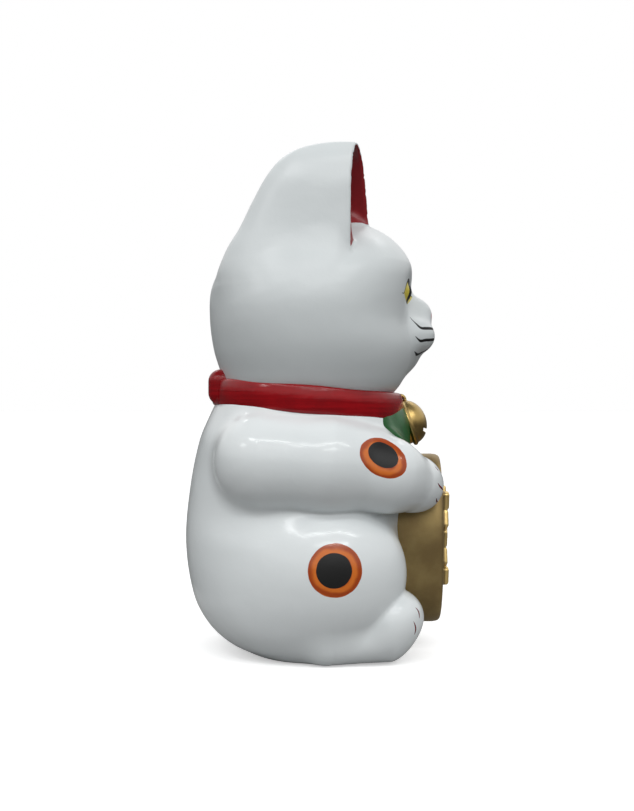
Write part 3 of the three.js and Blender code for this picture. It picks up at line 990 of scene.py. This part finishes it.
def make_floor():
    """A pale floor that only the camera sees, and under it a small card that alone throws light back up."""
    floor = make_sheet("floor", 30, 0.3, 0.9, 0.44)
    floor.visible_diffuse = floor.visible_glossy = floor.visible_shadow = False
    card = make_sheet("bounce_card", 0.18, 0.6, 0.35, 0)
    card.visible_camera = False


def add_light(data, name, azimuth, elevation):
    """Adds a light that shines from the given direction on the cat. Azimuth is from +X."""
    light = bpy.data.objects.new(name, data)
    rise, turn = math.radians(elevation), math.radians(azimuth)
    level, height = LIGHT_DISTANCE * math.cos(rise), AIM_HEIGHT + LIGHT_DISTANCE * math.sin(rise)
    light.location = (level * math.cos(turn), level * math.sin(turn), height)
    light.rotation_euler = (math.pi / 2 - rise, 0, turn + math.pi / 2)
    bpy.context.scene.collection.objects.link(light)


def make_sun(name, azimuth, elevation, strength):
    data = bpy.data.lights.new(name, "SUN")
    data.angle = math.radians(40)
    data.energy = strength
    add_light(data, name, azimuth, elevation)


def make_softbox(name, azimuth, elevation, size, brightness):
    """A wide and low softbox, for a highlight of its shape."""
    data = bpy.data.lights.new(name, "AREA")
    data.shape = "RECTANGLE"
    data.size, data.size_y = size
    data.energy = brightness * size[0] * size[1] * math.pi
    add_light(data, name, azimuth, elevation)


# The world's brightness by height, from below (-1) to overhead (1), and how it dims towards the cat's front
# and back, by the direction's Y from 0 to 1. A camera sees the world as white.
SKY = ((0.1, 0.12), (0.28, 1.16), (0.7, 1.17), (0.85, 0.2))
DIMMING = {"From Min": 0.1, "From Max": 1, "To Min": 1.03, "To Max": 0.74}


def make_world():
    world = bpy.data.worlds.new("studio")
    world.use_nodes = True
    nodes, links = world.node_tree.nodes, world.node_tree.links
    direction = nodes.new("ShaderNodeTexCoord")
    split = nodes.new("ShaderNodeSeparateXYZ")
    links.new(direction.outputs["Generated"], split.inputs[0])
    height = nodes.new("ShaderNodeMapRange")
    height.inputs["From Min"].default_value = -1
    links.new(split.outputs["Z"], height.inputs["Value"])
    ramp = nodes.new("ShaderNodeValToRGB")
    while len(ramp.color_ramp.elements) < len(SKY):
        ramp.color_ramp.elements.new(0.5)
    for element, (level, brightness) in zip(ramp.color_ramp.elements, SKY):
        element.position = (level + 1) / 2
        element.color = (brightness, brightness, brightness, 1)
    links.new(height.outputs[0], ramp.inputs[0])
    links.new(ramp.outputs[0], nodes["Background"].inputs["Color"])
    along = nodes.new("ShaderNodeMath")
    along.operation = "ABSOLUTE"
    links.new(split.outputs["Y"], along.inputs[0])
    dimming = nodes.new("ShaderNodeMapRange")
    for socket, value in DIMMING.items():
        dimming.inputs[socket].default_value = value
    links.new(along.outputs[0], dimming.inputs["Value"])
    links.new(dimming.outputs[0], nodes["Background"].inputs["Strength"])
    white = nodes.new("ShaderNodeBackground")
    white.inputs["Color"].default_value = (1, 1, 1, 1)
    chosen = nodes.new("ShaderNodeMixShader")
    links.new(nodes.new("ShaderNodeLightPath").outputs["Is Camera Ray"], chosen.inputs[0])
    links.new(nodes["Background"].outputs[0], chosen.inputs[1])
    links.new(white.outputs[0], chosen.inputs[2])
    links.new(chosen.outputs[0], nodes["World Output"].inputs["Surface"])
    bpy.context.scene.world = world


make_camera()
make_floor()
make_world()
make_sun("ceiling", -155, 50, 0.14)
make_softbox("upper_strip_front", 197, 50, (1.6, 0.05), 15)
make_softbox("upper_strip_back", 140, 45, (0.4, 0.08), 15)
make_softbox("lower_strip_front", 195, 34, (0.9, 0.04), 16)
make_softbox("lower_strip_back", 122, 30, (0.25, 0.07), 13)
make_softbox("left_strip_front", -30, 45, (0.4, 0.09), 4)
make_softbox("left_strip_back", 30, 45, (0.4, 0.09), 4)

make_head()
whole_body = make_body()
red = red_enamel()
make_trim("collar", collar, (-78, -66, 146), (78, 80, 190), TRIM_CELL, "red_enamel", red)
make_trim("knot", knot, (-38, 42, 158), (38, 80, 192), TRIM_CELL, "red_enamel", red)
make_trim("bib", bib, (-56, -78, 120), (56, -12, 178), TRIM_CELL, "green_enamel", green_enamel())
bell_gold = gold_paint("bell_gold", BELL_GOLD, DARK_BELL_GOLD, 0.34, 1.0)
make_trim("bell", bell, (-20, -84, 128), (20, -42, 176), BELL_CELL, "gold_paint", bell_gold)
coin_gold = gold_paint("coin_gold", COIN_GOLD, DARK_COIN_GOLD, 0.42, 0.7, "relief")
make_coin(coin_gold)
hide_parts("lucky_cat")

scene = bpy.context.scene
scene.view_settings.view_transform = "Standard"
